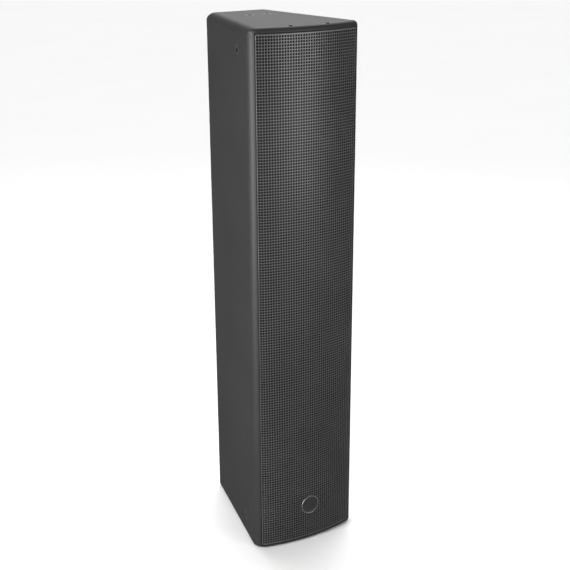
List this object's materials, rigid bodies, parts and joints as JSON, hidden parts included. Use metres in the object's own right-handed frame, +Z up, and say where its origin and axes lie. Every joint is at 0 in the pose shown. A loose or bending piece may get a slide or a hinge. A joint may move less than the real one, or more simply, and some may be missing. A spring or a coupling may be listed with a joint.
{
  "type": "column loudspeaker",
  "caption": "Tall tapered loudspeaker column with a curved perforated front, woofers above and below a central horn, a rear input plate and threaded fixing points.",
  "frame": {"origin": "middle of the box, in the plane of the feet's undersides", "axes": "+Z up along the column's height, the curved grille faces -Y, +X to the right seen from the front"},
  "size_m": [0.2412, 0.3098, 1.113],
  "materials": {
    "badge_metal": "dark anodised, satin",
    "baffle_paint": "matt black paint on plywood",
    "bare_plywood": "bare birch plywood",
    "basket_coat": "black coated pressed steel",
    "black_foam": "open cell acoustic foam",
    "black_screw": "black passivated steel",
    "cabinet_paint": "fine-textured matt dark grey paint on plywood",
    "cable_sheath": "black sheath",
    "capacitor_film": "yellow wrap",
    "circuit_board": "green solder mask",
    "cone_paper": "doped pressed paper",
    "copper_wire": "enamelled copper winding",
    "dome_metal": "thin pressed foil",
    "felt": "needled polyester felt",
    "foot_rubber": "matt",
    "gasket_foam": "closed cell foam tape",
    "grille_coat": "satin dark grey powder coat on perforated steel",
    "horn_plastic": "moulded, fine texture",
    "motor_metal": "zinc plated steel and ferrite",
    "plate_coat": "black powder coat",
    "resistor_ceramic": "white wire-wound case",
    "socket_plastic": "glass filled nylon",
    "surround_rubber": "matt half roll",
    "suspension_cloth": "resin dipped cotton",
    "terminal_brass": "bright",
    "zinc_steel": "steel with a dark dull zinc plating"
  },
  "bodies": {
    "cabinet": {"badge": "badge_metal", "board_screws": "black_screw", "board_standoffs": "terminal_brass", "bottom_panel": "cabinet_paint", "crossover_board": "circuit_board", "crossover_capacitors": "capacitor_film", "crossover_inductors": "copper_wire", "crossover_resistors": "resistor_ceramic", "damping_lining": "felt", "driver_cables": "cable_sheath", "foot_screws": "black_screw", "front_baffle": "baffle_paint", "grille": "grille_coat", "grille_foam": "black_foam", "grille_screws": "black_screw", "horn": "horn_plastic", "horn_driver": "motor_metal", "horn_gasket": "gasket_foam", "horn_screws": "black_screw", "horn_suspension": "suspension_cloth", "input_cables": "cable_sheath", "input_plate": "plate_coat", "input_plate_gasket": "gasket_foam", "input_plate_screws": "black_screw", "input_sockets": "socket_plastic", "left_side_panel": "cabinet_paint", "lower_brace": "bare_plywood", "pole_socket": "socket_plastic", "pole_socket_screws": "black_screw", "rear_panel": "cabinet_paint", "right_side_panel": "cabinet_paint", "rubber_feet": "foot_rubber", "socket_screws": "black_screw", "threaded_inserts": "zinc_steel", "top_panel": "cabinet_paint", "upper_brace": "bare_plywood", "woofer_1_basket": "basket_coat", "woofer_1_motor": "motor_metal", "woofer_1_spider": "suspension_cloth", "woofer_1_surround": "surround_rubber", "woofer_2_basket": "basket_coat", "woofer_2_motor": "motor_metal", "woofer_2_spider": "suspension_cloth", "woofer_2_surround": "surround_rubber", "woofer_3_basket": "basket_coat", "woofer_3_motor": "motor_metal", "woofer_3_spider": "suspension_cloth", "woofer_3_surround": "surround_rubber", "woofer_4_basket": "basket_coat", "woofer_4_motor": "motor_metal", "woofer_4_spider": "suspension_cloth", "woofer_4_surround": "surround_rubber", "woofer_gaskets": "gasket_foam", "woofer_screws": "black_screw", "woofer_terminals": "terminal_brass"},
    "woofer_1_moving": {"woofer_1_cone": "cone_paper"},
    "woofer_2_moving": {"woofer_2_cone": "cone_paper"},
    "woofer_3_moving": {"woofer_3_cone": "cone_paper"},
    "woofer_4_moving": {"woofer_4_cone": "cone_paper"},
    "horn_dome": {"horn_diaphragm": "dome_metal"}
  },
  "joints": [
    {"name": "woofer_1_travel", "type": "slide", "parent": "cabinet", "child": "woofer_1_moving", "axis": [0, -1, 0], "range_m": [-0.004, 0.004], "stiffness_N_per_m": 4000, "deforming": ["woofer_1_surround", "woofer_1_spider"]},
    {"name": "woofer_2_travel", "type": "slide", "parent": "cabinet", "child": "woofer_2_moving", "axis": [0, -1, 0], "range_m": [-0.004, 0.004], "stiffness_N_per_m": 4000, "deforming": ["woofer_2_surround", "woofer_2_spider"]},
    {"name": "woofer_3_travel", "type": "slide", "parent": "cabinet", "child": "woofer_3_moving", "axis": [0, -1, 0], "range_m": [-0.004, 0.004], "stiffness_N_per_m": 4000, "deforming": ["woofer_3_surround", "woofer_3_spider"]},
    {"name": "woofer_4_travel", "type": "slide", "parent": "cabinet", "child": "woofer_4_moving", "axis": [0, -1, 0], "range_m": [-0.004, 0.004], "stiffness_N_per_m": 4000, "deforming": ["woofer_4_surround", "woofer_4_spider"]},
    {"name": "horn_dome_travel", "type": "slide", "parent": "cabinet", "child": "horn_dome", "axis": [0, -1, 0], "range_m": [-0.0003, 0.0003], "stiffness_N_per_m": 3000, "deforming": ["horn_suspension"]}
  ]
}
